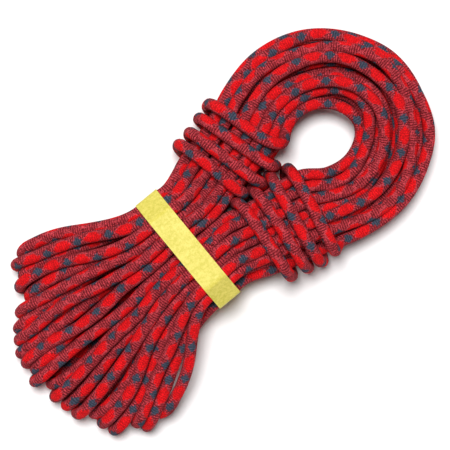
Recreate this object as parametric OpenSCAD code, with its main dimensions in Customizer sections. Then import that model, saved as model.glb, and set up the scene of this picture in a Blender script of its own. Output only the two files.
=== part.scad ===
// Dynamic climbing rope put up in a flaked coil: one rope laid to and fro in long
// bights, its two free ends wound round the legs of the arch, a paper label band
// round the waist. Millimetres, +Z up, origin at the middle of the underside.
// +X points from the fan of bights to the arch, +Y to the left leg.

/* [Rope] */
// Diameter of the rope
rope_d = 10; // [9:0.5:10.5]
// Thickness of the braided sheath at the rope's ends
sheath_wall = 1.1; // [0.9:0.1:1.4]
// Diameter of each outer core strand
core_strand_d = 1.9; // [1.5:0.1:1.9]
// Number of outer core strands
core_strands = 9; // [7:1:9]
// Diameter of each inner core strand
inner_strand_d = 1.7; // [1.3:0.1:1.7]

/* [Fan of bights] */
// Distance from the fan's focus to the middle tips
fan_reach = 201; // [195:1:230]
// How much the outermost tips fall short, per squared degree of fan angle
fan_round = 0.026; // [0.015:0.001:0.03]
// Distance from the band's middle to the fan's focus, towards the arch
fan_focus_x = 30; // [10:1:40]
// Pitch of the left half's tips, where one bight nests in the next
left_tip_pitch = 9.8; // [9.7:0.1:11.5]
// Pitch of the right half's tips, where the bights stand side by side
right_tip_pitch = 11.1; // [11:0.1:12]
// Height from the lower to the upper strand of a middling bight
bight_height = 37; // [34:1:42]
// Height by which one bight stands inside or below the next
nest_step = 4.4; // [4.2:0.1:5]

/* [Waist and label band] */
// Sideways step of the strands in the waist
waist_step = 8.1; // [8:0.1:9]
// Room added between strands in the waist
waist_room = 1.9; // [1.8:0.1:3]
// Gap between the left and the right half of the waist
waist_split = 0.6; // [0.5:0.1:6]
// Width of the label band, along the coil
band_w = 22; // [14:1:30]
// Thickness of the label band
band_t = 0.4; // [0.3:0.1:0.8]
// Length of the band's glued overlap
overlap_l = 18; // [10:1:30]
// Gap between the band and the strands under it
band_gap = 0.3; // [0.2:0.1:0.6]

/* [Arch and legs] */
// Distance from the band's middle to the arch's centre
arch_x = 145; // [140:1:165]
// Radius of the arch along the coil, in the middle of the bundle
arch_reach = 61.5; // [60:0.5:70]
// Sideways radius of the arch on the left, in the middle of the bundle
left_arch_r = 57; // [56:0.5:62]
// Sideways radius of the arch on the right, in the middle of the bundle
right_arch_r = 53; // [52:0.5:58]
// Sideways step of the strands in the arch on the left
left_arch_step = 9.8; // [9.6:0.1:10.4]
// Sideways step of the strands in the arch on the right
right_arch_step = 10.7; // [10.4:0.1:11]
// Sideways step of the strands at the arch's far end
far_arch_step = 9.2; // [9:0.1:10]
// Room added between strands in the arch
arch_room = 2.0; // [1.9:0.1:3]
// Sideways step of the left leg's strands at the last wrap
left_leg_step = 8.6; // [8.4:0.1:9]
// Sideways step of the right leg's strands at the last wrap
right_leg_step = 8.2; // [8:0.1:8.4]
// Sideways step of the left leg's strands where the arch starts
left_leg_end = 10; // [9.8:0.1:10.3]
// Sideways step of the right leg's strands where the arch starts
right_leg_end = 9.6; // [9.3:0.1:9.9]
// Angle at which the left leg leaves the waist
left_splay = 26; // [25:1:30]
// Angle at which the right leg leaves the waist
right_splay = 25; // [24:1:29]
// Room added between strands under the wraps
leg_room = 1.0; // [0.9:0.1:1.4]

/* [Wraps] */
// Turns of each free end round its leg
wrap_turns = 4; // [2:1:4]
// Pitch of the turns along the leg
wrap_pitch = 13.8; // [12.5:0.1:13.9]
// Room between the wraps and the strands at the sides
wrap_side_room = 1.6; // [1.5:0.1:2]
// Room between the wraps and the strands above and below
wrap_top_room = 3.2; // [3.1:0.1:4]

/* [Rope ends] */
// Thickness of the marking sleeve on each end
sleeve_t = 0.5; // [0.3:0.1:0.8]
// Length of the marking sleeve
sleeve_l = 20; // [12:1:22]
// Length of the fused tip past the sleeve
tip_l = 5; // [3:0.5:8]
// Gap between the sleeve and the rope
sleeve_gap = 0.05; // [0.05:0.05:0.2]

/* [Hidden] */

rope_r = rope_d / 2;
ring_sides = 6;
// A tenth of the rope's diameter is cut flat where a strand lies on the ground.
low_z = rope_r - rope_d / 10;

// Each leg has places for 24 strands: 7 columns of 2, 4, 4, 4, 4, 4 and 2, every
// other column shifted up by a quarter of a row. Column 0 is the outermost. Slot j
// has an upper and a lower strand, the slots running from the outside to the inside.
// 22 places are taken in each leg; the left leg's last column stays empty.
last_slot = 11;
mid_column = 3;
half_rows = 1.75;
function slot_column(j) = ceil(j / 2);
function slot_level(j) = (j == 0 || j == last_slot || j % 2 == 0) ? 0.5 : 1.5;
function column_shift(c) = c % 2 == 0 ? 0.25 : -0.25;
// Row step at which neighbours in two columns keep their room
function row_step(step, room) =
    max(rope_d + room, 2 * sqrt(max(0, pow(rope_d + room, 2) - step * step)));
waist_row = row_step(waist_step, waist_room);

// Heights of the bundle's middle
tail_z = rope_r + sleeve_gap + sleeve_t;
tail_top = 2 * tail_z;
band_z = tail_top + band_gap;
waist_z = band_z + band_t + band_gap + rope_r + half_rows * waist_row;
wrap_drop = 0.9;

// Plan of the bundle's middle: a straight waist, two curved legs, an oval arch.
// The left leg's empty column lets the waist's halves close up by a step.
band_margin = 1.5;
splay_margin = 7;
waist_half = band_w / 2 + band_margin;
waist_front = band_w / 2 + splay_margin;
waist_y = (mid_column - 0.5) * waist_step + rope_r + waist_split / 2;
arch_y = -1;
left_turn = 112;
right_turn = -110;
leg_start = 25;
leg_reach = 42;

function mix(a, b, t) = a + (b - a) * t;
function unit(v) = v / norm(v);
function clamp01(x) = min(1, max(0, x));
function ease(x) = let (c = clamp01(x)) c * c * (3 - 2 * c);
function bezier(p, t) =
    pow(1 - t, 3) * p[0] + 3 * pow(1 - t, 2) * t * p[1]
    + 3 * (1 - t) * t * t * p[2] + pow(t, 3) * p[3];
function bezier_way(p, t) =
    unit(pow(1 - t, 2) * (p[1] - p[0]) + 2 * (1 - t) * t * (p[2] - p[1])
         + t * t * (p[3] - p[2]));

function pick(side, left, right) = side > 0 ? left : right;
function turn(side) = pick(side, left_turn, right_turn);
function splay(side) = pick(side, left_splay, right_splay);
function arch_side_r(a) = pick(a, left_arch_r, right_arch_r);
function arch_point(a) = [arch_x + arch_reach * cos(a), arch_y + arch_side_r(a) * sin(a)];
function arch_normal(a) = unit([arch_side_r(a) * cos(a), arch_reach * sin(a)]);
function leg_curve(side) =
    let (s = [waist_front, side * waist_y],
         e = arch_point(turn(side)),
         n = arch_normal(turn(side)),
         out = [cos(splay(side)), side * sin(splay(side))])
    [s, s + leg_start * out, e - [n[1], -n[0]] * side * leg_reach, e];

// Place along a leg: 0 at the waist, 1 where the arch starts, past 1 on the arch.
degrees_per_place = 3 * leg_reach * 2 / (arch_reach + left_arch_r) * 180 / PI;
function arch_angle(side, t) = turn(side) - side * (t - 1) * degrees_per_place;
function arch_place(a) = 1 + min(left_turn - a, a - right_turn) / degrees_per_place;

// Column step, row step and height of the bundle at a place
squeeze_end = 0.38;
fall_start = 0.92;
fall_length = 0.75;
function with_row(step, room, base) =
    let (row = row_step(step, room)) [step, row, base + half_rows * row];
function leg_lattice(side, t) =
    with_row(mix(pick(side, left_leg_step, right_leg_step),
                 pick(side, left_leg_end, right_leg_end),
                 clamp01((t - squeeze_end) / (1 - squeeze_end))),
             leg_room, low_z + wrap_drop + rope_d + wrap_top_room);
function arch_lattice(a) =
    with_row(mix(pick(a, left_arch_step, right_arch_step), far_arch_step,
                 pow(max(0, cos(a)), 2)),
             arch_room, low_z);
function lattice(side, t) =
    let (a = ease(t / squeeze_end), b = ease((t - fall_start) / fall_length))
    mix(mix([waist_step, waist_row, waist_z], leg_lattice(side, t), a),
        arch_lattice(arch_angle(side, max(1, t))), b);

// Centre, outward normal and lattice of the bundle at a place
function station(side, t) =
    t > 1
    ? let (a = arch_angle(side, t)) [arch_point(a), arch_normal(a), lattice(side, t)]
    : let (w = bezier_way(leg_curve(side), t))
      [bezier(leg_curve(side), t), [-w[1], w[0]] * side, lattice(side, t)];
function arch_station(a) =
    [arch_point(a), arch_normal(a),
     lattice(left_turn - a < a - right_turn ? 1 : -1, arch_place(a))];

// Strand of slot j at a station: its centre and its sideways reference
function strand(st, j, up) =
    let (c = slot_column(j), level = (up ? 1 : -1) * slot_level(j) + column_shift(c),
         p = st[0] + st[1] * (mid_column - c) * st[2][0])
    [[p[0], p[1], st[2][2] + level * st[2][1]], [st[1][0], st[1][1], 0]];
function waist_strand(side, j, up) =
    strand([[-waist_half, side * waist_y], [0, side], lattice(side, 0)], j, up);

// Bights of the fan. On the left they join a slot's own two strands, so every
// other one nests inside its neighbours; on the right they join the lower strand of
// slot m to the upper strand of slot m + 1.
bights = last_slot;
left_first = 1.6;
right_first = 1.75;
fan_widen = 0.004;
nest_wave = 3;
nest_wave_step = 52;
side_wave = 5;
side_wave_step = 30;
side_wave_start = 3;
short_from = 6;
short_by = 10;
function tip_angle(side, m) =
    let (q = bights - 1 - m, pitch = pick(side, left_tip_pitch, right_tip_pitch))
    side * (pick(side, left_first, right_first)
            + q * pitch / fan_reach * 180 / PI + fan_widen * pow(q, 3));
function tip_radius(side, m) =
    let (q = bights - 1 - m)
    fan_reach - fan_round * pow(tip_angle(side, m), 2)
    + (side > 0
       ? nest_wave * sin(nest_wave_step * m) - (m % 2 == 0 ? 2 * nest_step : 0)
         - (q >= short_from ? short_by : 0)
       : side_wave * sin(side_wave_step * (q - side_wave_start)));
function upper_slot(side, m) = side > 0 ? m : m + 1;
bight_rings = 6;
function bight(side, m) =
    let (ju = upper_slot(side, m),
         high = low_z + nest_step + bight_height + (ju % 2 == 1 ? nest_step : -nest_step),
         low = low_z + nest_step + (m % 2 == 1 ? -nest_step : nest_step),
         a = tip_angle(side, m),
         tip = [fan_focus_x, 0] + tip_radius(side, m) * [-cos(a), sin(a)],
         wu = waist_strand(side, ju, true)[0], wl = waist_strand(side, m, false)[0],
         way = unit(tip - [wu[0] + wl[0], wu[1] + wl[1]] / 2),
         r = (high - low) / 2,
         c = [tip[0] - way[0] * r, tip[1] - way[1] * r, (high + low) / 2])
    [for (k = [0 : bight_rings - 1])
        let (psi = 90 - 180 * k / (bight_rings - 1))
        [c + r * [cos(psi) * way[0], cos(psi) * way[1], sin(psi)],
         [way[1], -way[0], 0] * side]];

// One pass of the rope over the arch, from the left waist to the right waist
leg_places = [0.36, 0.68];
arch_steps = 9;
function reversed(v) = [for (i = [len(v) - 1 : -1 : 0]) v[i]];
function leg_pass(side, j, up) =
    let (half = splay(side) / 2,
         front = [[waist_front, side * waist_y], [-sin(half), side * cos(half)],
                  lattice(side, 0)])
    concat([waist_strand(side, j, up), strand(front, j, up)],
           [for (t = leg_places) strand(station(side, t), j, up)]);
function arch_pass(j, up, first, last) =
    [for (i = [first : last])
        strand(arch_station(mix(left_turn, right_turn, i / arch_steps)), j, up)];
function whole_pass(j, up) =
    concat(leg_pass(1, j, up), arch_pass(j, up, 0, arch_steps),
           reversed(leg_pass(-1, j, up)));

// The wraps: out of the bundle, over the top, round the leg, and onto the ground
left_wrap_place = 0.84;
right_wrap_place = 0.8;
function wrap_place(side) = pick(side, left_wrap_place, right_wrap_place);
wrap_rings = 16;
leave_rings = 6;
leave_speed = 1.5;
floor_rings = 4;
over_top = 90;
last_angle = 160;
floor_run = 24;
floor_shift = 20;
floor_pull = 12;

// Where a free end leaves the bundle for its wraps: place and angle round the leg
left_leave = [1.12, 165];
right_leave = [0.92, 15];
function leave(side) = pick(side, left_leave, right_leave);
joint_run = 1.2 * rope_d;

// A point round a leg, at an angle from outward through up. The turns lie on a
// rounded box. The left leg's last column is empty, so its box is narrower and
// reaches further into the corners on the inner side.
outer_power = 3.5;
left_inner_power = 8;
right_inner_power = 3.2;
left_wrap_shift = 0.5;
right_wrap_shift = 0;
function round_leg(side, t, angle) =
    let (st = station(side, t),
         shift = pick(side, left_wrap_shift, right_wrap_shift),
         half_w = (mid_column - shift) * st[2][0] + rope_d + wrap_side_room,
         half_h = half_rows * st[2][1] + rope_d + wrap_top_room,
         ca = cos(angle), sa = sin(angle),
         power = ca > 0 ? outer_power : pick(side, left_inner_power, right_inner_power),
         r = pow(pow(abs(ca) / half_w, power) + pow(abs(sa) / half_h, power), -1 / power),
         p = st[0] + st[1] * (shift * st[2][0] + r * ca))
    [p[0], p[1], st[2][2] - wrap_drop + r * sa];

// The joint of each wrap with the last strand of the bundle, where both are cut
// along one plane, square to the mean of the rope's ways on its two sides
function end_slot(side) = pick(side, last_slot, 0);
function last_ring(side) = pick(side, 1, arch_steps);
function joint(side) =
    let (p = strand(station(side, leave(side)[0]), end_slot(side), true),
         before = arch_pass(end_slot(side), true, last_ring(side), last_ring(side))[0],
         after = leave_point(side, 1 / leave_rings))
    [p[0], p[1], unit(unit(p[0] - before[0]) + unit(after[0] - p[0]))];

// The loops: the rope's centreline from the right joint to the left joint
function slot_loops(j) =
    j == 0 ? concat([joint(-1)], reversed(arch_pass(0, true, 0, last_ring(-1))),
                    reversed(leg_pass(1, 0, true)))
    : j == last_slot ? concat(leg_pass(-1, j, true),
                              reversed(arch_pass(j, true, last_ring(1), arch_steps)),
                              [joint(1)])
    : reversed(whole_pass(j, true));
loops = [for (j = [0 : last_slot])
    each concat(slot_loops(j),
                j == last_slot ? []
                : concat(bight(1, j), whole_pass(j, false), reversed(bight(-1, j))))];

// The line of a wrap, with its last stretch down onto the ground
function leg_length(side) = norm(leg_curve(side)[3] - leg_curve(side)[0]);
function leg_way(side, t) = let (n = station(side, t)[1]) [n[1], -n[0], 0];
turned = 360 * (wrap_turns - 1) + last_angle;
helix_count = round(turned / 360 * wrap_rings);
function helix_point(side, i) =
    let (g = turned * i / helix_count,
         t = wrap_place(side) - wrap_pitch / leg_length(side) * g / 360)
    [round_leg(side, t, over_top - side * g), leg_way(side, t)];
function leave_point(side, u) =
    let (t = mix(leave(side)[0], wrap_place(side), 2 * u - u * u),
         inside = strand(station(side, t), end_slot(side), true),
         outside = round_leg(side, t, mix(leave(side)[1], over_top, u * u)))
    [mix(inside[0], outside, ease(u * leave_speed)), mix(inside[1], leg_way(side, t), u)];
function floor_points(side) =
    let (p = helix_point(side, helix_count), q = helix_point(side, helix_count - 1)[0],
         run = unit([p[0][0] - q[0], p[0][1] - q[1], 0]),
         e = [p[0][0] - floor_run, p[0][1] - floor_shift, tail_z],
         c = [p[0], p[0] + run * floor_pull, e + [floor_pull, 0, 0], e])
    concat([for (k = [1 : floor_rings])
                [bezier(c, k / floor_rings),
                 mix(p[1], [0, -side, 0], k / floor_rings)]],
           [[e - [joint_run, 0, 0], [0, -side, 0]]]);
function wrap_line(side) =
    concat([joint(side)],
           [for (k = [1 : leave_rings]) leave_point(side, k / leave_rings)],
           [for (i = [1 : helix_count]) helix_point(side, i)],
           floor_points(side));
left_line = wrap_line(1);
right_line = wrap_line(-1);

// A tube of six sides along a line of [centre, sideways reference, way if the cut
// has its own], with what reaches below the ground cut flat
function piece_way(line, i) = unit(line[i + 1][0] - line[i][0]);
function way_at(line, i) =
    let (way = unit(piece_way(line, max(0, i - 1))
                    + piece_way(line, min(len(line) - 2, i))))
    len(line[i]) < 3 ? way : line[i][2] * sign(line[i][2] * way);
function tube_points(line) =
    [for (i = [0 : len(line) - 1])
        let (t = way_at(line, i),
             s = unit(line[i][1] - (line[i][1] * t) * t),
             b = cross(t, s))
        for (k = [0 : ring_sides - 1])
            let (a = 360 * k / ring_sides,
                 p = line[i][0] + rope_r * (cos(a) * s + sin(a) * b))
            [p[0], p[1], max(0, p[2])]];
function tube_faces(n) =
    [for (i = [0 : n - 2], k = [0 : ring_sides - 1])
        let (a = i * ring_sides + k, b = i * ring_sides + (k + 1) % ring_sides,
             c = b + ring_sides, d = a + ring_sides)
        each [[a, d, c], [a, c, b]]];
function cap_faces(n) =
    let (e = (n - 1) * ring_sides)
    [for (k = [1 : ring_sides - 2]) each [[0, k, k + 1], [e, e + k + 1, e + k]]];

loop_points = tube_points(loops);
left_points = tube_points(left_line);
right_points = tube_points(right_line);

// The origin is under the middle of the box round the loops and wraps.
all_points = concat(loop_points, left_points, right_points);
xs = [for (p = all_points) p[0]];
ys = [for (p = all_points) p[1]];
middle = [(min(xs) + max(xs)) / 2, (min(ys) + max(ys)) / 2, 0];

// Each free end: where its sheath starts, and where the rope is cut
function tail_start(line) = line[len(line) - 1][0];
end_x = -20;

module placed() {
    translate(-middle) children();
}

module rope_tube(points, line) {
    placed()
    polyhedron(points, concat(tube_faces(len(line)), cap_faces(len(line))),
               convexity = 10);
}

// Something along -X from x, on the axis of a free end
module along_tail(line, x) {
    p = tail_start(line);
    placed() translate([x, p[1], p[2]]) rotate([0, -90, 0]) children();
}

module hank_loops() {
    color("crimson") rope_tube(loop_points, loops);
}

module left_wrap() {
    color("firebrick") rope_tube(left_points, left_line);
}

module right_wrap() {
    color("firebrick") rope_tube(right_points, right_line);
}

bore_over = 1;
module tail_sheath(line) {
    run = tail_start(line)[0] - end_x - tip_l;
    color("crimson") along_tail(line, tail_start(line)[0])
    difference() {
        cylinder(h = run, r = rope_r, $fn = 48);
        translate([0, 0, -bore_over])
        cylinder(h = run + 2 * bore_over, r = rope_r - sheath_wall, $fn = 48);
    }
}

module left_tail_sheath() {
    tail_sheath(left_line);
}

module right_tail_sheath() {
    tail_sheath(right_line);
}

// Straight strands that fill the sheath: a ring of outer ones round three
inner_strands = 3;
strand_gap = 0.04;
module core_strands(line) {
    run = tail_start(line)[0] - end_x - tip_l;
    outer_r = rope_r - sheath_wall - core_strand_d / 2 - strand_gap;
    inner_r = (inner_strand_d + strand_gap) / 2 / sin(180 / inner_strands);
    color("white") along_tail(line, tail_start(line)[0]) {
        for (k = [0 : core_strands - 1])
            rotate([0, 0, 360 * k / core_strands]) translate([outer_r, 0, 0])
            cylinder(h = run, d = core_strand_d, $fn = 24);
        for (k = [0 : inner_strands - 1])
            rotate([0, 0, 360 * k / inner_strands]) translate([inner_r, 0, 0])
            cylinder(h = run, d = inner_strand_d, $fn = 24);
    }
}

module left_core_strands() {
    core_strands(left_line);
}

module right_core_strands() {
    core_strands(right_line);
}

// Shrunk sleeve that marks the end of the rope
module end_sleeve(line) {
    bore_r = rope_r + sleeve_gap;
    color("black") along_tail(line, end_x + tip_l + sleeve_l)
    difference() {
        cylinder(h = sleeve_l, r = bore_r + sleeve_t, $fn = 48);
        translate([0, 0, -bore_over])
        cylinder(h = sleeve_l + 2 * bore_over, r = bore_r, $fn = 48);
    }
}

module left_end_sleeve() {
    end_sleeve(left_line);
}

module right_end_sleeve() {
    end_sleeve(right_line);
}

// Sheath and core melted together, with a rounded rim
tip_round = 1.2;
module fused_tip(line) {
    color("darkred") along_tail(line, end_x + tip_l)
    rotate_extrude($fn = 48) {
        square([rope_r - tip_round, tip_l]);
        square([rope_r, tip_l - tip_round]);
        translate([rope_r - tip_round, tip_l - tip_round]) circle(tip_round, $fn = 32);
    }
}

module left_fused_tip() {
    fused_tip(left_line);
}

module right_fused_tip() {
    fused_tip(right_line);
}

// Outline of the waist's strands with some room, drawn with y across and z up
module waist_outline(room) {
    hull()
    for (side = [-1, 1], j = [0 : last_slot], up = [true, false]) {
        p = waist_strand(side, j, up)[0];
        translate([p[1], p[2]]) circle(rope_r + room, $fn = 32);
    }
}

module label_band() {
    color("khaki") placed()
    translate([-band_w / 2, 0, 0]) rotate([90, 0, 90])
    linear_extrude(height = band_w)
    difference() {
        waist_outline(band_gap + band_t);
        waist_outline(band_gap);
    }
}

// The glued end of the band, on its underside
module label_overlap() {
    color("gold") placed()
    translate([-band_w / 2, -overlap_l / 2, band_z - band_t])
    cube([band_w, overlap_l, band_t]);
}

// Least gap between parts of the rope, measured between the straight pieces of
// its centreline that aren't next to each other
function piece_gap(a, b, c, d) =
    let (u = b - a, v = d - c, w = a - c, uu = u * u, uv = u * v, vv = v * v,
         uw = u * w, vw = v * w, den = uu * vv - uv * uv,
         s0 = den > 0.001 ? clamp01((uv * vw - vv * uw) / den) : 0,
         t0 = clamp01((uv * s0 + vw) / vv),
         s1 = clamp01((uv * t0 - uw) / uu),
         t1 = clamp01((uv * s1 + vw) / vv))
    norm(w + u * s1 - v * t1) - rope_d;
gap_seen = 2;
function least_gap(p, skip) =
    let (n = len(p) - 1,
         mids = [for (i = [0 : n - 1]) (p[i] + p[i + 1]) / 2],
         halves = [for (i = [0 : n - 1]) norm(p[i + 1] - p[i]) / 2])
    min([for (i = [0 : n - 1]) for (k = [i + skip : 1 : n - 1])
            if (norm(mids[i] - mids[k]) < halves[i] + halves[k] + rope_d + gap_seen)
                piece_gap(p[i], p[i + 1], p[k], p[k + 1])]);
function cross_gap(p, q) =
    min([for (i = [0 : len(p) - 2], k = [0 : len(q) - 2])
            if (norm(p[i] - q[k]) < norm(p[i + 1] - p[i]) + norm(q[k + 1] - q[k]) + rope_d)
                piece_gap(p[i], p[i + 1], q[k], q[k + 1])]);
function centres(line) = [for (q = line) q[0]];
function length_of(p) = sum([for (i = [0 : len(p) - 2]) norm(p[i + 1] - p[i])], 0);
function sum(v, i) = i == len(v) ? 0 : v[i] + sum(v, i + 1);
function part_of(v, first, last) = [for (i = [first : last]) v[i]];
bend_rings = 4;
union() {
    p = centres(loops);
    l = centres(left_line);
    r = centres(right_line);
    echo(loop_rings = len(p), passes = 2 * last_slot + 1);
    echo(least_gap_loops = least_gap(p, bend_rings));
    echo(least_gap_wraps = [least_gap(l, bend_rings), least_gap(r, bend_rings)]);
    echo(gap_loops_to_wraps = [cross_gap(part_of(p, 0, len(p) - 4), part_of(l, 2, len(l) - 1)),
                               cross_gap(part_of(p, 3, len(p) - 1), part_of(r, 2, len(r) - 1))]);
    echo(gap_wrap_to_wrap = cross_gap(l, r));
    echo(rope_length_m = (length_of(p) + length_of(l) + length_of(r)
        + tail_start(left_line)[0] + tail_start(right_line)[0] - 2 * end_x) / 1000);
    echo(middle = middle, low = [min(xs), min(ys)], high = [max(xs), max(ys)]);
}

hank_loops();
left_wrap();
right_wrap();
left_tail_sheath();
right_tail_sheath();
left_core_strands();
right_core_strands();
left_end_sleeve();
right_end_sleeve();
left_fused_tip();
right_fused_tip();
label_band();
label_overlap();
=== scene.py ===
"""A dynamic climbing rope put up in a flaked coil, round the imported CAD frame.

The route is worked out in millimetres, as in the CAD source, settled under its own
weight, and then built in metres. +X points from the fan of bights to the arch, +Y to
the left leg and +Z up."""
import math

import bmesh
import bpy
import numpy as np
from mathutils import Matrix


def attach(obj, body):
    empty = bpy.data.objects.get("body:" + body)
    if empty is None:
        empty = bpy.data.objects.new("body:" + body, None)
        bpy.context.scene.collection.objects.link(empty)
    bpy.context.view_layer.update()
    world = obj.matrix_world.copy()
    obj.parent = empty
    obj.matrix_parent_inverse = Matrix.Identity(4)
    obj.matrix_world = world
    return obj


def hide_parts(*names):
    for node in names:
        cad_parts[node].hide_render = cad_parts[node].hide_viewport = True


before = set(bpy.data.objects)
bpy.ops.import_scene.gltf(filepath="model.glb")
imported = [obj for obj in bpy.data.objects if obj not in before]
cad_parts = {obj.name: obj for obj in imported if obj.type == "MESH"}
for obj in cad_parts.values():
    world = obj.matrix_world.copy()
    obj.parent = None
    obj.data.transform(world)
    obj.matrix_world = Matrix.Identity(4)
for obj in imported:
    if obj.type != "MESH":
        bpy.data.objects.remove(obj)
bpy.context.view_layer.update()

MM = 0.001
LEFT, RIGHT = 1, -1

# ---------------------------------------------------------------------- camera
# The view's turn about Z, the spot under its middle, and its width at a height
VIEW_TURN = math.radians(-39.45)
VIEW_MIDDLE = (0.0058, 0.0016)
VIEW_WIDTH, WIDTH_HEIGHT = 0.375, 0.06
CAMERA_HEIGHT = 3.0
SENSOR = 36.0


def add_camera():
    """A camera that looks straight down on the coil."""
    data = bpy.data.cameras.new("camera")
    data.sensor_width = SENSOR
    data.lens = SENSOR * (CAMERA_HEIGHT - WIDTH_HEIGHT) / VIEW_WIDTH
    camera = bpy.data.objects.new("camera", data)
    camera.location = (*VIEW_MIDDLE, CAMERA_HEIGHT)
    camera.rotation_euler = (0, 0, VIEW_TURN)
    bpy.context.scene.collection.objects.link(camera)
    bpy.context.scene.camera = camera


add_camera()

# ------------------------------------------------- sizes of the rope's route, mm
ROPE_D = 10.0
ROPE_R = ROPE_D / 2
# A tenth of the rope's diameter is pressed flat where a strand lies on the ground
LOW_Z = ROPE_R - ROPE_D / 10

# The fan: how far its tips reach from its focus, how they round off at its sides and
# how far apart they are, and the heights of a bight and of its nesting
FAN_REACH, FAN_ROUND, FAN_FOCUS_X = 201.0, 0.026, 30.0
TIP_PITCH = {LEFT: 9.8, RIGHT: 11.1}
BIGHT_HEIGHT, NEST_STEP = 37.0, 4.4

# The waist and the label band round it
WAIST_STEP, WAIST_ROOM, WAIST_SPLIT = 8.1, 1.9, 0.6
BAND_W, BAND_T, BAND_GAP = 22.0, 0.4, 0.3
BAND_MARGIN, SPLAY_MARGIN = 1.5, 7.0

# The arch and its two legs
ARCH_X, ARCH_Y, ARCH_RX = 145.0, -1.0, 61.5
ARCH_RY = {LEFT: 57.0, RIGHT: 53.0}
ARCH_STEP, FAR_STEP, ARCH_ROOM = {LEFT: 9.8, RIGHT: 10.7}, 9.2, 2.0
LEG_STEP, LEG_ROOM = {LEFT: 8.6, RIGHT: 8.2}, 1.0
LEG_END_STEP = {LEFT: 10.0, RIGHT: 9.6}
LEG_SPLAY = {LEFT: 26.0, RIGHT: 25.0}

# The wraps and the rope's two ends
WRAP_TURNS, WRAP_PITCH = 4, 13.8
WRAP_SIDE_ROOM, WRAP_TOP_ROOM, WRAP_DROP = 1.6, 3.2, 0.9
SLEEVE_T, SLEEVE_GAP = 0.5, 0.05
TIP_L, END_X = 5.0, -20.0

# Each leg has places for 24 strands: 7 columns of 2, 4, 4, 4, 4, 4 and 2, every other
# column shifted by a quarter of a row. A slot has an upper and a lower strand, and
# the slots run from the outside to the inside.
LAST_SLOT, MID_COLUMN, HALF_ROWS = 11, 3, 1.75
NEAR_LEVEL, FAR_LEVEL, COLUMN_SHIFT = 0.5, 1.5, 0.25


def row_step(step, room):
    """The row step at which strands in neighbouring columns keep their room."""
    pitch = ROPE_D + room
    return max(pitch, 2 * math.sqrt(max(0.0, pitch**2 - step**2)))


WAIST_ROW = row_step(WAIST_STEP, WAIST_ROOM)
TAIL_Z = ROPE_R + SLEEVE_GAP + SLEEVE_T
BAND_Z = 2 * TAIL_Z + BAND_GAP
WAIST_Z = BAND_Z + BAND_T + BAND_GAP + ROPE_R + HALF_ROWS * WAIST_ROW
WAIST_HALF = BAND_W / 2 + BAND_MARGIN
WAIST_FRONT = BAND_W / 2 + SPLAY_MARGIN
# The left leg's last column stays empty, so the waist's halves close up by a step
WAIST_Y = (MID_COLUMN - 0.5) * WAIST_STEP + ROPE_R + WAIST_SPLIT / 2
# Where the band's middle lies in the frame
BAND_AT = np.array([-30.7012, 5.78079, 0.0])

# ------------------------------------------------------------ route of the rope
# A place along a leg is 0 at the waist, 1 where the arch starts, past 1 on the arch.
TURN = {LEFT: 112.0, RIGHT: -110.0}
LEG_START, LEG_REACH = 25.0, 42.0
DEGREES_PER_PLACE = math.degrees(3 * LEG_REACH / (ARCH_RX + ARCH_RY[LEFT]) * 2)
SQUEEZE_END, FALL_START, FALL_LENGTH = 0.38, 0.92, 0.75


def mix(a, b, t):
    return a + (b - a) * t


def unit(v):
    return v / np.linalg.norm(v)


def ease(x):
    """From 0 to 1 with a soft start and end, for a number or an array."""
    c = np.clip(x, 0.0, 1.0)
    return c * c * (3 - 2 * c)


def cos(degrees):
    return math.cos(math.radians(degrees))


def sin(degrees):
    return math.sin(math.radians(degrees))


def bezier(p, t):
    s = 1 - t
    return s**3 * p[0] + 3 * s * s * t * p[1] + 3 * s * t * t * p[2] + t**3 * p[3]


def bezier_way(p, t):
    s = 1 - t
    return unit(s * s * (p[1] - p[0]) + 2 * s * t * (p[2] - p[1]) + t * t * (p[3] - p[2]))


def arch_radius(angle):
    return ARCH_RY[LEFT if angle > 0 else RIGHT]


def arch_point(angle):
    across = arch_radius(angle) * sin(angle)
    return np.array([ARCH_X + ARCH_RX * cos(angle), ARCH_Y + across])


def arch_normal(angle):
    return unit(np.array([arch_radius(angle) * cos(angle), ARCH_RX * sin(angle)]))


def arch_angle(side, place):
    return TURN[side] - side * (place - 1) * DEGREES_PER_PLACE


def leg_curve(side):
    start = np.array([WAIST_FRONT, side * WAIST_Y])
    end = arch_point(TURN[side])
    n = arch_normal(TURN[side])
    way = np.array([n[1], -n[0]]) * side
    out = np.array([cos(LEG_SPLAY[side]), side * sin(LEG_SPLAY[side])])
    return start, start + LEG_START * out, end - way * LEG_REACH, end


def arch_lattice(angle):
    start = ARCH_STEP[LEFT if angle > 0 else RIGHT]
    step = mix(start, FAR_STEP, max(0, cos(angle)) ** 2)
    row = row_step(step, ARCH_ROOM)
    return step, row, LOW_Z + HALF_ROWS * row


def leg_lattice(side, place):
    share = (place - SQUEEZE_END) / (1 - SQUEEZE_END)
    step = mix(LEG_STEP[side], LEG_END_STEP[side], min(1, max(0, share)))
    row = row_step(step, LEG_ROOM)
    return step, row, LOW_Z + WRAP_DROP + HALF_ROWS * row + ROPE_D + WRAP_TOP_ROOM


def lattice(side, place):
    """Column step, row step and middle height of the bundle at a place."""
    raised = ease(place / SQUEEZE_END)
    fallen = ease((place - FALL_START) / FALL_LENGTH)
    three = zip(
        (WAIST_STEP, WAIST_ROW, WAIST_Z),
        leg_lattice(side, place),
        arch_lattice(arch_angle(side, max(1, place))),
    )
    return tuple(mix(mix(waist, leg, raised), arch, fallen) for waist, leg, arch in three)


def arch_station(angle):
    side = LEFT if TURN[LEFT] - angle < angle - TURN[RIGHT] else RIGHT
    place = 1 + min(TURN[LEFT] - angle, angle - TURN[RIGHT]) / DEGREES_PER_PLACE
    return arch_point(angle), arch_normal(angle), lattice(side, place)


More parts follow.
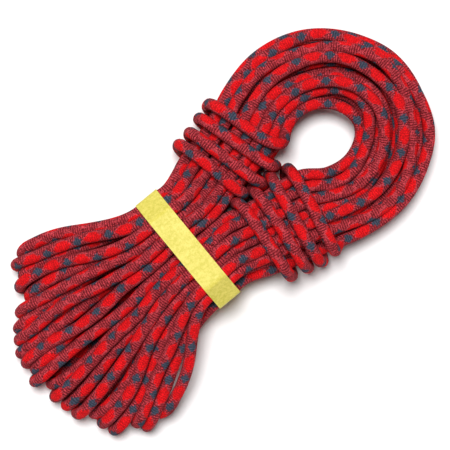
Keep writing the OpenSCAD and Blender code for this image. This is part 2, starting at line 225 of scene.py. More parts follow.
def station(side, place):
    """The bundle's centre, its outward normal and its lattice at a place."""
    if place > 1:
        angle = arch_angle(side, place)
        return arch_point(angle), arch_normal(angle), lattice(side, place)
    curve = leg_curve(side)
    way = bezier_way(curve, place)
    return bezier(curve, place), np.array([-way[1], way[0]]) * side, lattice(side, place)


def strand(at, slot, up):
    """The middle of a slot's upper or lower strand at a station."""
    centre, normal, (step, row, height) = at
    column = math.ceil(slot / 2)
    level = NEAR_LEVEL if slot in (0, LAST_SLOT) or slot % 2 == 0 else FAR_LEVEL
    level = level * (1 if up else -1) + (COLUMN_SHIFT if column % 2 == 0 else -COLUMN_SHIFT)
    p = centre + normal * (MID_COLUMN - column) * step
    return np.array([p[0], p[1], height + level * row])


def waist_strand(side, slot, up, x=-WAIST_HALF):
    at = np.array([x, side * WAIST_Y]), np.array([0.0, side]), lattice(side, 0)
    return strand(at, slot, up)


# ------------------------------------------------------------ the fan of bights
FIRST_ANGLE = {LEFT: 1.6, RIGHT: 1.75}
FAN_WIDEN = 0.004
NEST_WAVE, NEST_WAVE_STEP = 3.0, 52
SIDE_WAVE, SIDE_WAVE_STEP, SIDE_WAVE_START = 5.0, 30, 3
SHORT_FROM, SHORT_BY = 6, 10
BIGHT_RINGS = 6
# How far each bight, from the outermost one, reaches past its even place, and how
# far its lower strand lies towards the fan's outer edge
TIP_PAST = {
    LEFT: (8, -1, 1, -9, -1, -11, 1, -6, 2, -8, 4),
    RIGHT: (5, 6, -6, 3, 0, -7, -3, -6, -2, -4, 2),
}
TIP_LEAN = {
    LEFT: (12, 8, 4, 6, 8, 5, 4, 6, 3, 5, 5),
    RIGHT: (18, 8, 5, 6, 4, 5, 7, 4, 6, 5, 4),
}


def tip_angle(side, m):
    q = LAST_SLOT - 1 - m
    spread = q * math.degrees(TIP_PITCH[side] / FAN_REACH)
    return side * (FIRST_ANGLE[side] + spread + FAN_WIDEN * q**3)


def tip_radius(side, m):
    q = LAST_SLOT - 1 - m
    radius = FAN_REACH - FAN_ROUND * tip_angle(side, m) ** 2 + TIP_PAST[side][m]
    if side == RIGHT:
        return radius + SIDE_WAVE * sin(SIDE_WAVE_STEP * (q - SIDE_WAVE_START))
    nested = -2 * NEST_STEP if m % 2 == 0 else 0
    short = SHORT_BY if q >= SHORT_FROM else 0
    return radius + nested + NEST_WAVE * sin(NEST_WAVE_STEP * m) - short


def bight(side, m):
    """The points of a bight. On the left it joins a slot's own two strands, and on
    the right the lower strand of slot m and the upper strand of the next."""
    upper = m if side == LEFT else m + 1
    high = LOW_Z + NEST_STEP + BIGHT_HEIGHT + (NEST_STEP if upper % 2 else -NEST_STEP)
    low = LOW_Z + NEST_STEP + (-NEST_STEP if m % 2 else NEST_STEP)
    a = tip_angle(side, m)
    tip = np.array([FAN_FOCUS_X, 0]) + tip_radius(side, m) * np.array([-cos(a), sin(a)])
    waist = (waist_strand(side, upper, True) + waist_strand(side, m, False))[:2] / 2
    way = unit(tip - waist)
    outward = np.array([way[1], -way[0]]) * side * TIP_LEAN[side][m]
    r = (high - low) / 2
    points = []
    for k in range(BIGHT_RINGS):
        psi = 90 - 180 * k / (BIGHT_RINGS - 1)
        x, y = tip + way * r * (cos(psi) - 1) + outward * (sin(psi) - 1) / 2
        points.append(np.array([x, y, (high + low) / 2 + r * sin(psi)]))
    return points


# ------------------------------------------------------------------- the passes
LEG_PLACES = (0.36, 0.68)
THROUGH_X = 8.0
ARCH_STEPS = 9


def leg_pass(side, slot, up):
    """A strand from behind the waist to the wraps."""
    half = LEG_SPLAY[side] / 2
    turned = np.array([-sin(half), side * cos(half)])
    front = np.array([WAIST_FRONT, side * WAIST_Y]), turned, lattice(side, 0)
    through = [waist_strand(side, slot, up, x) for x in (-WAIST_HALF, THROUGH_X)]
    places = [strand(station(side, t), slot, up) for t in LEG_PLACES]
    return [*through, strand(front, slot, up), *places]


def arch_pass(slot, up, first, last):
    angles = [mix(TURN[LEFT], TURN[RIGHT], i / ARCH_STEPS) for i in range(first, last + 1)]
    return [strand(arch_station(a), slot, up) for a in angles]


def whole_pass(slot, up):
    arch = arch_pass(slot, up, 0, ARCH_STEPS)
    return leg_pass(LEFT, slot, up) + arch + leg_pass(RIGHT, slot, up)[::-1]


# ------------------------------------------------- the free ends and their wraps
# Where a free end leaves the bundle: its place along the leg and its angle round it
LEAVE = {LEFT: (1.12, 165.0), RIGHT: (0.92, 15.0)}
LEAVE_SPEED, LEAVE_RINGS = 1.5, 6
# The turns lie on a rounded box, with its own roundness on each side. The left leg's
# last column is empty, so its box is narrower.
OUTER_POWER, INNER_POWER = 3.5, {LEFT: 8.0, RIGHT: 3.2}
WRAP_SHIFT = {LEFT: 0.5, RIGHT: 0.0}
WRAP_PLACE, WRAP_RINGS = {LEFT: 0.84, RIGHT: 0.80}, 16
OVER_TOP, LAST_ANGLE = 90.0, 160.0
TURNED = 360 * (WRAP_TURNS - 1) + LAST_ANGLE
HELIX_COUNT = round(TURNED / 360 * WRAP_RINGS)
LEG_LENGTH = {
    side: float(np.linalg.norm(leg_curve(side)[3] - leg_curve(side)[0]))
    for side in (LEFT, RIGHT)
}
# From the last turn to the ground, and straight on to the end
FLOOR_RUN, FLOOR_SHIFT, FLOOR_PULL, FLOOR_RINGS = 24.0, 20.0, 12.0, 4
JOINT_RUN = 1.2 * ROPE_D


def round_leg(side, place, angle):
    """A point round a leg, at an angle from outward through up."""
    centre, normal, (step, row, height) = station(side, place)
    centre = centre + normal * WRAP_SHIFT[side] * step
    half_w = (MID_COLUMN - WRAP_SHIFT[side]) * step + ROPE_D + WRAP_SIDE_ROOM
    half_h = HALF_ROWS * row + ROPE_D + WRAP_TOP_ROOM
    across, up = cos(angle), sin(angle)
    power = OUTER_POWER if across > 0 else INNER_POWER[side]
    r = ((abs(across) / half_w) ** power + (abs(up) / half_h) ** power) ** (-1 / power)
    x, y = centre + normal * r * across
    return np.array([x, y, height - WRAP_DROP + r * up])


def end_slot(side):
    return LAST_SLOT if side == LEFT else 0


def wrap_line(side):
    """A free end, out of the bundle, round the leg and onto the ground."""
    place, angle = LEAVE[side]
    points = [strand(station(side, place), end_slot(side), True)]
    for k in range(1, LEAVE_RINGS + 1):
        u = k / LEAVE_RINGS
        t = mix(place, WRAP_PLACE[side], 2 * u - u * u)
        inside = strand(station(side, t), end_slot(side), True)
        outside = round_leg(side, t, mix(angle, OVER_TOP, u * u))
        points.append(mix(inside, outside, ease(u * LEAVE_SPEED)))
    for i in range(1, HELIX_COUNT + 1):
        g = TURNED * i / HELIX_COUNT
        t = WRAP_PLACE[side] - WRAP_PITCH / LEG_LENGTH[side] * g / 360
        points.append(round_leg(side, t, OVER_TOP - side * g))
    p, q = points[-1], points[-2]
    run = unit((p - q) * (1, 1, 0))
    end = np.array([p[0] - FLOOR_RUN, p[1] - FLOOR_SHIFT, TAIL_Z])
    curve = p, p + run * FLOOR_PULL, end + (FLOOR_PULL, 0, 0), end
    points += [bezier(curve, k / FLOOR_RINGS) for k in range(1, FLOOR_RINGS + 1)]
    return points + [end - (JOINT_RUN, 0, 0)]


def rope_points():
    """The rope's centreline from the right end to the left end."""
    loops = arch_pass(0, True, 0, ARCH_STEPS)[::-1] + leg_pass(LEFT, 0, True)[::-1]
    for m in range(LAST_SLOT):
        if m:
            loops += whole_pass(m, True)[::-1]
        loops += bight(LEFT, m) + whole_pass(m, False) + bight(RIGHT, m)[::-1]
    loops += leg_pass(RIGHT, LAST_SLOT, True)
    loops += arch_pass(LAST_SLOT, True, 1, ARCH_STEPS)[::-1]
    right, left = wrap_line(RIGHT), wrap_line(LEFT)
    cut = END_X + TIP_L
    right_end = np.array([cut, *right[-1][1:]])
    left_end = np.array([cut, *left[-1][1:]])
    line = [right_end, *right[::-1], *loops, *left, left_end]
    return np.array(line) + BAND_AT


# ----------------------------------------------- points an even distance apart
SPACING, FINE_SPACING = 4.0, 0.5


def steps_of(points):
    return np.linalg.norm(np.diff(points, axis=0), axis=1)


def run_along(points):
    """How far along the line each point lies."""
    return np.concatenate([[0], np.cumsum(steps_of(points))])


def smooth_line(points, spacing):
    """Points an even distance apart on a smooth curve through the given ones."""
    steps = steps_of(points)
    slopes = np.diff(points, axis=0) / steps[:, None]
    before, after = steps[:-1, None], steps[1:, None]
    inner = (slopes[:-1] * after + slopes[1:] * before) / (before + after)
    tangents = np.vstack([slopes[:1], inner, slopes[-1:]])
    fine = []
    for i, step in enumerate(steps):
        t = np.arange(0, 1, FINE_SPACING / step)[:, None]
        h1, h2 = 2 * t**3 - 3 * t**2 + 1, t**3 - 2 * t**2 + t
        h3, h4 = -2 * t**3 + 3 * t**2, t**3 - t**2
        fine.append(
            h1 * points[i] + h2 * step * tangents[i]
            + h3 * points[i + 1] + h4 * step * tangents[i + 1]
        )
    return even_line(np.vstack([*fine, points[-1:]]), spacing)


def even_line(points, spacing):
    run = run_along(points)
    at = np.linspace(0, run[-1], round(run[-1] / spacing) + 1)
    return np.column_stack([np.interp(at, run, points[:, k]) for k in range(3)])


# --------------------------------------------------------------------- settling
ROUNDS, REBUILD = 240, 12
# Strands are pushed apart where they come nearer than the rope's diameter. The pairs
# to look at reach further, and leave out the nearest points along the rope itself.
REACH_NEAR, OWN_RUN, SEARCH_PART, PUSH = 3.5, 7, 500, 0.3
SINK, HOLD, WRAP_PULL, EVEN_OUT, LOWEST = 0.04, 0.006, 0.05, 0.45, 5.0
# The rope is free to move away from the band and from its ends.
FREE_FROM, FREE_OVER, END_RUN = 16.0, 60.0, 12.0
# How unevenly the strands are laid, and what share of it the wraps have
UNEVEN, UNEVEN_FAN, UNEVEN_HEIGHT, UNEVEN_WRAPS = 2.4, 2.3, 1.8, 0.45
UNEVEN_RUN, UNEVEN_SEED, FAN_OVER = 24.0, 11, 130.0
# The legs close up towards a line between them, from the waist to the arch, a little
# less at the top.
CLOSE_BY, CLOSE_MIDDLE, CLOSE_SOFT, CLOSE_WIDTH = 11.5, 4.0, 8.0, 40.0
CLOSE_FROM, CLOSE_RISE, CLOSE_TO, CLOSE_FALL = 11.0, 42.0, 108.0, 24.0
CLOSE_LOW, CLOSE_HIGH, CLOSE_TOP_SHARE = 25.0, 65.0, 0.85
# The fan parts behind the band, and the arch opens round its hole.
SPLIT_BY, SPLIT_RUN, SPLIT_SOFT = 1.6, 50.0, 2.0
HOLE_MIDDLE, HOLE_R, HOLE_WIDTH, HOLE_BY = (146.0, 0.0), 24.0, 22.0, 4.5
HOLE_FROM, HOLE_RISE = 110.0, 30.0
# Bends tighter than the least radius are drawn open: before, during and after.
LEAST_BEND, BEND_PULL, BEND_SPREAD = 12.0, 0.5, (0.3, 0.7, 1.0, 0.7, 0.3)
OPEN_BEFORE, OPEN_EVERY, OPEN_AFTER = 60, 8, 4
# The least length that another is divided by
TINY = 0.1


def near_pairs(points, reach):
    """Pairs of points of different stretches of the rope that lie within reach."""
    low = points.astype(np.float32)
    size = (low**2).sum(1)
    firsts, seconds = [], []
    for start in range(0, len(low), SEARCH_PART):
        part = slice(start, start + SEARCH_PART)
        square = size[part, None] + size[None] - 2 * low[part] @ low.T
        i, j = np.nonzero(square < reach**2)
        keep = j > i + start + OWN_RUN
        firsts.append(i[keep] + start)
        seconds.append(j[keep])
    return np.concatenate(firsts), np.concatenate(seconds)


def smoothed(values, run):
    """Values along the rope, evened out over a run of points."""
    reach = int(3 * run)
    kernel = np.exp(-0.5 * (np.arange(-reach, reach + 1) / run) ** 2)
    return np.column_stack([np.convolve(v, kernel / kernel.sum(), "same") for v in values.T])


def uneven(count):
    """Smooth random offsets in X, Y and Z with a spread of about 1."""
    draw = np.random.default_rng(UNEVEN_SEED).normal(size=(count, 3))
    waves = smoothed(draw, UNEVEN_RUN / SPACING)
    return waves / waves.std(axis=0)


def closed_up(at):
    """How far each point moves sideways, so that the legs and their wraps meet and
    the fan parts in its middle."""
    x, y, z = at.T
    off = y - CLOSE_MIDDLE
    near = np.exp(-((off / CLOSE_WIDTH) ** 2))
    reach = ease((x - CLOSE_FROM) / CLOSE_RISE)
    reach = reach * (1 - ease((x - CLOSE_TO) / CLOSE_FALL))
    top = ease((z - CLOSE_LOW) / (CLOSE_HIGH - CLOSE_LOW))
    share = (1 - top * (1 - CLOSE_TOP_SHARE)) * near
    legs = CLOSE_BY * np.tanh(off / CLOSE_SOFT) * reach * share
    behind = np.clip((-WAIST_HALF - x) / SPLIT_RUN, 0, 1)
    hump = 4 * behind * (1 - behind)
    split = SPLIT_BY * np.tanh(off / SPLIT_SOFT) * hump
    return -legs - split * near


def opened_arch(at):
    """How far each point of the arch moves out from its hole, most at the hole."""
    off = at[:, :2] - HOLE_MIDDLE
    out = np.linalg.norm(off, axis=1)
    share = np.exp(-(((out - HOLE_R) / HOLE_WIDTH) ** 2))
    share = share * ease((at[:, 0] - HOLE_FROM) / HOLE_RISE)
    return off / out[:, None] * share[:, None] * HOLE_BY


def off_even(values):
    """How far each inner value is from the middle of its two neighbours."""
    return (values[:-2] + values[2:]) / 2 - values[1:-1]


def bend_radii(points):
    """The radius of the circle through each point and its two neighbours."""
    before, after = points[1:-1] - points[:-2], points[2:] - points[1:-1]
    across = points[2:] - points[:-2]
    area = np.linalg.norm(np.cross(before, across), axis=1)
    sides = [np.linalg.norm(side, axis=1) for side in (before, after, across)]
    return sides[0] * sides[1] * sides[2] / (2 * np.maximum(area, 1e-9))


def opened_bends(points, rounds):
    """The line with each bend tighter than the least one drawn open."""
    points = points.copy()
    for _ in range(rounds):
        tight = np.clip(LEAST_BEND / np.maximum(bend_radii(points), TINY) - 1, 0, 1)
        share = np.minimum(1, np.convolve(tight, BEND_SPREAD, "same"))[:, None]
        share[:3], share[-3:] = 0, 0
        points[1:-1] += BEND_PULL * share * off_even(points)
    return points


def laid_unevenly(points, wrapped, free):
    """The line that the strands are settled from, and drawn back to."""
    at = points - BAND_AT
    fan = np.clip((-at[:, :1] - FREE_FROM) / FAN_OVER, 0, 1)
    sideways = mix(UNEVEN, UNEVEN_FAN, fan)
    spread = np.hstack([sideways, sideways, np.full_like(fan, UNEVEN_HEIGHT)])
    spread[wrapped] *= UNEVEN_WRAPS
    goal = points + uneven(len(points)) * spread * free
    goal[:, 1] += closed_up(at)
    goal[:, :2] += opened_arch(at)
    return opened_bends(goal, OPEN_BEFORE)


def settle(points, wrapped):
    """The rope laid unevenly, pressed together and sunk until its strands touch."""
    count = len(points)
    from_band = np.abs((points - BAND_AT)[:, 0])
    from_end = np.minimum(np.arange(count), np.arange(count)[::-1])
    free = np.clip((from_band - FREE_FROM) / FREE_OVER, 0, 1)[:, None]
    free = free * (1 - np.exp(-from_end / END_RUN))[:, None]
    goal = laid_unevenly(points, wrapped, free)
    now = goal.copy()
    pull = np.where(wrapped, WRAP_PULL, 0.0)[1:-1, None] * free[1:-1]
    for step in range(ROUNDS):
        if step % REBUILD == 0:
            pairs = near_pairs(now, ROPE_D + REACH_NEAR)
        now[:, 2] -= SINK * free[:, 0]
        now[1:-1] += pull * off_even(now)
        gap = now[pairs[0]] - now[pairs[1]]
        far = np.linalg.norm(gap, axis=1)
        push = np.maximum(0, ROPE_D - far) / np.maximum(far, TINY) * PUSH
        push = gap * push[:, None]
        for k in range(3):
            now[:, k] += np.bincount(pairs[0], push[:, k], count)
            now[:, k] -= np.bincount(pairs[1], push[:, k], count)
        moved = (now - goal) * np.where(free > 0, 1.0, 0.0)
        moved[1:-1] += EVEN_OUT * off_even(moved)
        now = goal + moved * (1 - HOLD)
        now[:, 2] = np.maximum(now[:, 2], LOWEST)
        if (step + 1) % OPEN_EVERY == 0:
            now = opened_bends(now, 1)
    return opened_bends(now, OPEN_AFTER)


line = smooth_line(rope_points(), SPACING)
run = np.arange(len(line)) * SPACING
right_run, left_run = (steps_of(wrap_line(side)).sum() for side in (RIGHT, LEFT))
line = settle(line, (run < right_run) | (run > run[-1] - left_run))

# ----------------------------------------------------------------- rope as a tube
TUBE_SIDES = 14
# The run in which a yarn goes once round the rope
LAY_LENGTH = 28.5
TWIST_WAVES, TWIST_SEED, TWIST_REACH = 9, 4, 2.5


def slow_wave(count, waves, seed, reach):
    """A smooth random wave along the rope, at most as high as its reach."""
    draw = np.random.default_rng(seed)
    at = np.linspace(0, 1, count)
    total = np.zeros(count)
    for k in range(1, waves + 1):
        total += draw.normal() / math.sqrt(k) * np.sin(2 * np.pi * (k * at + draw.random()))
    return reach * total / np.abs(total).max()


def rope_frames(points):
    """Two steady directions square to the line at each point."""
    ways = np.gradient(points, axis=0)
    ways /= np.linalg.norm(ways, axis=1)[:, None]
    side = np.array([0.0, 0.0, 1.0])
    sides = []
    for way in ways:
        side = unit(side - way * side.dot(way))
        sides.append(side)
    sides = np.array(sides)
    return sides, np.cross(ways, sides)


def make_rope(points):
    """The rope's skin, with U round it and V along it, in turns of its yarns."""
    sides, tops = rope_frames(points)
    count = len(points)
    angles = 2 * np.pi * np.arange(TUBE_SIDES) / TUBE_SIDES
    rings = (
        points[:, None]
        + ROPE_R * np.cos(angles)[None, :, None] * sides[:, None]
        + ROPE_R * np.sin(angles)[None, :, None] * tops[:, None]
    )
    verts = (rings.reshape(-1, 3) * MM).tolist()
    faces, uvs = [], []
    along = run_along(points) / LAY_LENGTH
    twist = slow_wave(count, TWIST_WAVES, TWIST_SEED, TWIST_REACH)
    for i in range(count - 1):
        for k in range(TUBE_SIDES):
            j = (k + 1) % TUBE_SIDES
            a, b = i * TUBE_SIDES + k, i * TUBE_SIDES + j
            faces.append((a, b, b + TUBE_SIDES, a + TUBE_SIDES))
            u0, u1 = k / TUBE_SIDES, (k + 1) / TUBE_SIDES
            uvs += [
                (u0 + twist[i], along[i]),
                (u1 + twist[i], along[i]),
                (u1 + twist[i + 1], along[i + 1]),
                (u0 + twist[i + 1], along[i + 1]),
            ]
    last = (count - 1) * TUBE_SIDES
    faces.append(tuple(range(TUBE_SIDES))[::-1])
    faces.append(tuple(range(last, last + TUBE_SIDES)))
    uvs += [(0, along[0])] * TUBE_SIDES + [(0, along[-1])] * TUBE_SIDES
    mesh = bpy.data.meshes.new("rope")
    mesh.from_pydata(verts, [], faces)
    layer = mesh.uv_layers.new(name="sheath")
    layer.data.foreach_set("uv", np.array(uvs, dtype=np.float32).ravel())
    mesh.shade_smooth()
    rope = bpy.data.objects.new("rope", mesh)
    bpy.context.scene.collection.objects.link(rope)
    return rope


rope = make_rope(line)

# ------------------------------------------------------------------ shader nodes


def calc(tree, operation, *values):
    """A Math node; a value is a number or another node's output."""
    node = tree.nodes.new("ShaderNodeMath")
    node.operation = operation
    for socket, value in zip(node.inputs, values):
        if isinstance(value, (int, float)):
            socket.default_value = value
        else:
            tree.links.new(value, socket)
    return node.outputs[0]


def ranged(tree, value, low, high):
    """A value from 0 to 1, taken to the range from low to high."""
    return calc(tree, "MULTIPLY_ADD", value, high - low, low)


def blend_colours(tree, factor, first, second):
    """A Mix node of two colours; each is a colour or another node's output."""
    node = tree.nodes.new("ShaderNodeMix")
    node.data_type = "RGBA"
    sockets = {socket.identifier: socket for socket in node.inputs}
    for name, value in (
        ("Factor_Float", factor), ("A_Color", first), ("B_Color", second),
    ):
        if isinstance(value, tuple):
            sockets[name].default_value = value
        else:
            tree.links.new(value, sockets[name])
    return next(socket for socket in node.outputs if socket.identifier == "Result_Color")


def noise(tree, vector, scale, detail=2.0, roughness=0.5):
    """Noise; its scale is a number or another node's output."""
    node = tree.nodes.new("ShaderNodeTexNoise")
    if isinstance(scale, float):
        node.inputs["Scale"].default_value = scale
    else:
        tree.links.new(scale, node.inputs["Scale"])
    node.inputs["Detail"].default_value = detail
    node.inputs["Roughness"].default_value = roughness
    tree.links.new(vector, node.inputs["Vector"])
    return node.outputs["Fac"]


def bump(tree, height, distance):
    node = tree.nodes.new("ShaderNodeBump")
    node.inputs["Distance"].default_value = distance
    tree.links.new(height, node.inputs["Height"])
    return node.outputs["Normal"]


def new_material(name, **sockets):
    material = bpy.data.materials.new(name)
    material.use_nodes = True
    tree = material.node_tree
    shader = tree.nodes["Principled BSDF"]
    for socket, value in sockets.items():
        shader.inputs[socket.replace("_", " ")].default_value = value
    return material, tree, shader


# -------------------------------------------------------------- the braided sheath
# The two colours, and what shows of each where yarns of both cross
RED = (0.78, 0.009, 0.013, 1)
SLATE = (0.066, 0.08, 0.12, 1)
MIXED_RED = (0.47, 0.045, 0.059, 1)
MIXED_SLATE = (0.19, 0.012, 0.017, 1)
# Carriers of yarn each way round: a run of them is red, a shorter run round a middle
# one is slate, and the few between are spun of both. A yarn passes over two and then
# under two of the others.
CARRIERS, RED_CARRIERS, SLATE_MIDDLE, SLATE_HALF = 28, 16, 21, 4.5
FLOAT_OVER = 4.0
# How many yarns aside a colour may stray, and how far from the middle of a red patch
# its red stays whole
STRAY, PATCH_HALF = 2.1, 9.5
# What a white-noise draw is multiplied by for a second draw
SECOND_DRAW = 61.7
# Scales of the noise, per metre
PATCH_SCALE, FUZZ_SCALE, PIT_SCALE = 160.0, 1100.0, 800.0
# What each makes of the light: slow patches and fuzz (tone that differs at random), a yarn's
# side and ridge (painted shade at its sides, painted highlight on its ridge), and the specks
# of single stitches (random tone) and the painted shade of a dark pit between yarns, in whole
# and in mixed colour
PATCH_LIGHT, FUZZ_LIGHT, RIDGE_PAINTED_SHADING = (0.85, 1.15), (0.36, 1.76), (0.72, 1.14)
SPECK_LIGHT, PIT_PAINTED_SHADE = (0.55, 1.05), (-0.22, -0.47)
PIT_SLOPE, PIT_START = 6.0, -3.2
# How dark the painted shade in the groove between two stitches is, in slate and in red
GROOVE_PAINTED_SHADE = (0.5, 0.2)
GROOVE_DEPTH, FUZZ_DEPTH, SHEATH_BUMP = 0.8, 0.8, 0.0002


def carrier_colour(tree, yarn):
    """A yarn's carrier, and two masks: 1 where it shows red, and 1 where it is spun
    of both colours, of which every other one shows red."""
    carrier = calc(tree, "FLOORED_MODULO", yarn, CARRIERS)
    red = calc(tree, "LESS_THAN", carrier, RED_CARRIERS - 0.5)
    slate = calc(tree, "COMPARE", carrier, SLATE_MIDDLE, SLATE_HALF)
    spun = calc(tree, "SUBTRACT", calc(tree, "SUBTRACT", 1.0, red), slate)
    even = calc(tree, "LESS_THAN", calc(tree, "FLOORED_MODULO", carrier, 2.0), 0.5)
    return carrier, calc(tree, "MULTIPLY_ADD", spun, even, red), spun


def sheath_material():
    """Braid of two ways of yarn, each part red and part slate, two over and two under."""
    material, tree, shader = new_material(
        "braided_sheath", Roughness=0.9, Specular_IOR_Level=0.1,
    )
    uv = tree.nodes.new("ShaderNodeUVMap")
    uv.uv_map = "sheath"
    parts = tree.nodes.new("ShaderNodeSeparateXYZ")
    tree.links.new(uv.outputs[0], parts.inputs[0])
    around, along = parts.outputs[0], parts.outputs[1]
    place = tree.nodes.new("ShaderNodeTexCoord").outputs["Object"]

    # The two ways of yarn, and a draw for each stitch, where two of them cross
    a = calc(tree, "MULTIPLY", calc(tree, "ADD", around, along), CARRIERS)
    b = calc(tree, "MULTIPLY", calc(tree, "SUBTRACT", around, along), CARRIERS)
    yarn_a, yarn_b = calc(tree, "FLOOR", a), calc(tree, "FLOOR", b)
    cell = tree.nodes.new("ShaderNodeCombineXYZ")
    tree.links.new(yarn_a, cell.inputs[0])
    tree.links.new(yarn_b, cell.inputs[1])
    white = tree.nodes.new("ShaderNodeTexWhiteNoise")
    tree.links.new(cell.outputs[0], white.inputs["Vector"])
    draw = white.outputs["Value"]
    stray = calc(tree, "ROUND", ranged(tree, draw, -STRAY / 2, STRAY / 2))

    # Which yarn is on top, its colour, and where the stitch is mixed
    carrier_a, red_a, spun_a = carrier_colour(tree, calc(tree, "ADD", yarn_a, stray))
    carrier_b, red_b, spun_b = carrier_colour(tree, calc(tree, "SUBTRACT", yarn_b, stray))
    turn = calc(tree, "FLOORED_MODULO", calc(tree, "SUBTRACT", yarn_a, yarn_b), FLOAT_OVER)
    over = calc(tree, "LESS_THAN", turn, FLOAT_OVER / 2)
    under = calc(tree, "SUBTRACT", 1.0, over)
    red = calc(tree, "ADD", calc(tree, "MULTIPLY", over, red_a),
               calc(tree, "MULTIPLY", under, red_b))
    mixed = calc(tree, "ABSOLUTE", calc(tree, "SUBTRACT", red_a, red_b))
    mixed = calc(tree, "MAXIMUM", mixed, calc(tree, "MAXIMUM", spun_a, spun_b))
    wide = calc(tree, "SUBTRACT", calc(tree, "ADD", carrier_a, carrier_b), RED_CARRIERS - 1.0)
    wide = calc(tree, "GREATER_THAN", calc(tree, "ABSOLUTE", wide), PATCH_HALF)
    both = calc(tree, "MULTIPLY", red_a, red_b)
    mixed = calc(tree, "MAXIMUM", mixed, calc(tree, "MULTIPLY", wide, both))
    colour = blend_colours(tree, mixed, blend_colours(tree, red, SLATE, RED),
                           blend_colours(tree, red, MIXED_SLATE, MIXED_RED))

    # The form of the stitch: grooves across, and a ridge along the yarn on top
    rib = calc(tree, "DIVIDE", calc(tree, "SUBTRACT", a, b), FLOAT_OVER / (2 * math.pi))
    groove = calc(tree, "MULTIPLY_ADD", calc(tree, "COSINE", rib), 0.5, 0.5)
    middle = calc(tree, "ADD", calc(tree, "MULTIPLY", over, calc(tree, "FRACT", a)),
                  calc(tree, "MULTIPLY", under, calc(tree, "FRACT", b)))
    middle = ranged(tree, middle, -1.0, 1.0)
    ridge = calc(tree, "SUBTRACT", 1.0, calc(tree, "MULTIPLY", middle, middle))
    height = calc(tree, "SUBTRACT", ridge, calc(tree, "MULTIPLY", groove, GROOVE_DEPTH))

    # Light and dark: random tone, and painted shade at the yarns' sides, between yarns and in
    # the grooves
    fuzz = noise(tree, place, FUZZ_SCALE, detail=3.0, roughness=0.6)
    light = ranged(tree, noise(tree, place, PATCH_SCALE), *PATCH_LIGHT)
    light = calc(tree, "MULTIPLY", light, ranged(tree, fuzz, *FUZZ_LIGHT))
    # Painted shade at the sides of the yarn on top, and a painted highlight along its ridge
    light = calc(tree, "MULTIPLY", light, ranged(tree, ridge, *RIDGE_PAINTED_SHADING))
    speck = calc(tree, "FRACT", calc(tree, "MULTIPLY", draw, SECOND_DRAW))
    speck = calc(tree, "MULTIPLY", calc(tree, "SUBTRACT", speck, 0.5),
                 ranged(tree, mixed, *SPECK_LIGHT))
    light = calc(tree, "MULTIPLY_ADD", light, speck, light)
    # Painted shade: dark specks where a pit between yarns lies in shade, deeper in mixed
    # colour
    pit_shade = noise(tree, place, PIT_SCALE, detail=1.0)
    pit_shade = calc(tree, "MULTIPLY_ADD", pit_shade, PIT_SLOPE, PIT_START)
    pit_shade = calc(tree, "MINIMUM", calc(tree, "MAXIMUM", pit_shade, 0.0), 1.0)
    pit_shade = calc(tree, "MULTIPLY_ADD", pit_shade, ranged(tree, mixed, *PIT_PAINTED_SHADE), 1.0)
    light = calc(tree, "MULTIPLY", light, pit_shade)
    # Painted shade in the groove between stitches, where the colour is whole, deeper in slate
    # than in red
    whole = calc(tree, "SUBTRACT", 1.0, mixed)
    dark = calc(tree, "MULTIPLY", whole, ranged(tree, red, *GROOVE_PAINTED_SHADE))
    shade = calc(tree, "SUBTRACT", 1.0, calc(tree, "MULTIPLY", groove, dark))

    shaded = tree.nodes.new("ShaderNodeVectorMath")
    shaded.operation = "SCALE"
    tree.links.new(colour, shaded.inputs[0])
    tree.links.new(calc(tree, "MULTIPLY", light, shade), shaded.inputs["Scale"])
    tree.links.new(shaded.outputs[0], shader.inputs["Base Color"])
    rough = calc(tree, "MULTIPLY_ADD", fuzz, FUZZ_DEPTH, height)
    tree.links.new(bump(tree, rough, SHEATH_BUMP), shader.inputs["Normal"])
    return material


# ------------------------------------------------- paper, sleeves, tips and core
CLOUD_SCALE = 35.0
# Each finish: its dark and light colour, the depth and scale of its grain, how much
# the grain and the clouds show, and the shader's own sockets
FINISHES = {
    "label_paper": {
        "dark": (0.64, 0.56, 0.065, 1), "light": (0.92, 0.785, 0.18, 1),
        "depth": 0.00008, "scale": 400.0, "contrast": 2.4, "clouds": 0.35,
        "Roughness": 0.55, "Specular_IOR_Level": 0.4,
    },
    "shrunk_sleeve": {
        "dark": (0.012, 0.012, 0.014, 1), "light": (0.03, 0.03, 0.034, 1),
        "depth": 0.00005, "scale": 900.0, "contrast": 1.0, "clouds": 0.1,
        "Roughness": 0.45,
    },
    "fused_nylon": {
        "dark": (0.05, 0.008, 0.01, 1), "light": (0.16, 0.02, 0.025, 1),
        "depth": 0.0003, "scale": 500.0, "contrast": 1.5, "clouds": 0.0,
        "Roughness": 0.3,
    },
    "core_yarn": {
        "dark": (0.72, 0.70, 0.64, 1), "light": (0.86, 0.85, 0.80, 1),
        "depth": 0.0001, "scale": 1500.0, "contrast": 1.0, "clouds": 0.2,
        "Roughness": 0.8,
    },
}
WORN_BY = {
    "label_paper": ("label_band", "label_overlap"),
    "shrunk_sleeve": ("left_end_sleeve", "right_end_sleeve"),
    "fused_nylon": ("left_fused_tip", "right_fused_tip"),
    "core_yarn": ("left_core_strands", "right_core_strands"),
}


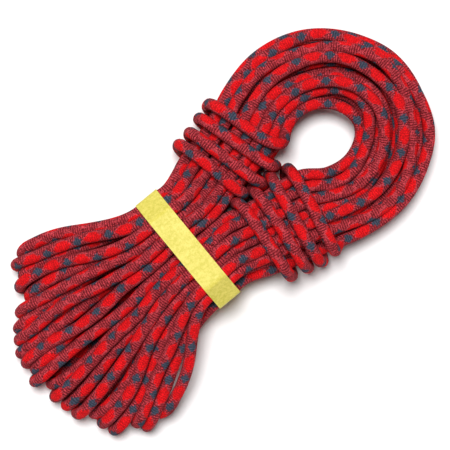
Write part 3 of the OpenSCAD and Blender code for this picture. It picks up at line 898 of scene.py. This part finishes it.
def grain_group():
    """A fine grain between two colours, with slow clouds of the dark one."""
    group = bpy.data.node_groups.new("grain", "ShaderNodeTree")
    for name, kind in (
        ("Place", "NodeSocketVector"), ("Scale", "NodeSocketFloat"),
        ("Contrast", "NodeSocketFloat"), ("Clouds", "NodeSocketFloat"),
        ("Dark", "NodeSocketColor"), ("Light", "NodeSocketColor"),
    ):
        group.interface.new_socket(name=name, in_out="INPUT", socket_type=kind)
    group.interface.new_socket(name="Color", in_out="OUTPUT", socket_type="NodeSocketColor")
    group.interface.new_socket(name="Height", in_out="OUTPUT", socket_type="NodeSocketFloat")
    given = group.nodes.new("NodeGroupInput").outputs
    made = group.nodes.new("NodeGroupOutput").inputs
    height = noise(group, given["Place"], given["Scale"], detail=4.0, roughness=0.65)
    centred = calc(group, "SUBTRACT", height, 0.5)
    share = calc(group, "MULTIPLY_ADD", centred, given["Contrast"], 0.5)
    cloud = noise(group, given["Place"], CLOUD_SCALE)
    share = calc(group, "SUBTRACT", share, calc(group, "MULTIPLY", cloud, given["Clouds"]))
    colour = blend_colours(group, share, given["Dark"], given["Light"])
    group.links.new(colour, made["Color"])
    group.links.new(height, made["Height"])
    return group


def grained_material(name, grain, dark, light, depth, scale, contrast, clouds, **sockets):
    """A finish that the grain group varies between two colours and roughens."""
    material, tree, shader = new_material(name, **sockets)
    node = tree.nodes.new("ShaderNodeGroup")
    node.node_tree = grain
    place = tree.nodes.new("ShaderNodeTexCoord").outputs["Object"]
    tree.links.new(place, node.inputs["Place"])
    for socket, value in zip(
        ("Scale", "Contrast", "Clouds", "Dark", "Light"),
        (scale, contrast, clouds, dark, light),
    ):
        node.inputs[socket].default_value = value
    tree.links.new(node.outputs["Color"], shader.inputs["Base Color"])
    tree.links.new(bump(tree, node.outputs["Height"], depth), shader.inputs["Normal"])
    return material


def dress(name, material):
    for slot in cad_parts[name].material_slots:
        slot.material = material


rope.data.materials.append(sheath_material())
grain = grain_group()
for finish, values in FINISHES.items():
    material = grained_material(finish, grain, **values)
    for name in WORN_BY[finish]:
        dress(name, material)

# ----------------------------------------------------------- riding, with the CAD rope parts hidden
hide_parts("hank_loops", "left_wrap", "right_wrap", "left_tail_sheath", "right_tail_sheath")
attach(rope, "root")

# --------------------------------------------------------------- floor and light
FLOOR_SIZE = 6.0
FLOOR_WHITE = (0.95, 0.95, 0.95, 1)
SKY_WHITE = (1, 1, 1, 1)
SKY_STRENGTH = 0.17
# The lamp's turn and width in degrees
LAMP_TURN, LAMP_WIDTH, LAMP_STRENGTH = (-10, 4, 0), 18, 3.35


def add_floor():
    """A wide pale floor under the coil."""
    mesh = bpy.data.meshes.new("floor")
    grid = bmesh.new()
    bmesh.ops.create_grid(grid, x_segments=1, y_segments=1, size=FLOOR_SIZE / 2)
    grid.to_mesh(mesh)
    grid.free()
    floor = bpy.data.objects.new("floor", mesh)
    bpy.context.scene.collection.objects.link(floor)
    material, _, shader = new_material("floor_white", Roughness=1.0, Specular_IOR_Level=0.0)
    shader.inputs["Base Color"].default_value = FLOOR_WHITE
    mesh.materials.append(material)


def add_lamp():
    """One broad lamp, nearly straight above."""
    data = bpy.data.lights.new("key_light", "SUN")
    data.energy = LAMP_STRENGTH
    data.angle = math.radians(LAMP_WIDTH)
    lamp = bpy.data.objects.new("key_light", data)
    lamp.rotation_euler = [math.radians(x) for x in LAMP_TURN]
    bpy.context.scene.collection.objects.link(lamp)


def add_sky():
    """A dim sky that is white where it is seen, straight or in a reflection."""
    world = bpy.data.worlds.new("studio")
    world.use_nodes = True
    tree = world.node_tree
    background = tree.nodes["Background"]
    background.inputs["Color"].default_value = SKY_WHITE
    rays = tree.nodes.new("ShaderNodeLightPath").outputs
    seen = calc(tree, "MAXIMUM", rays["Is Glossy Ray"], rays["Is Transmission Ray"])
    seen = calc(tree, "MAXIMUM", rays["Is Camera Ray"], seen)
    strength = ranged(tree, seen, SKY_STRENGTH, 1.0)
    tree.links.new(strength, background.inputs["Strength"])
    bpy.context.scene.world = world


add_floor()
add_sky()
add_lamp()
bpy.context.scene.view_settings.view_transform = "Standard"
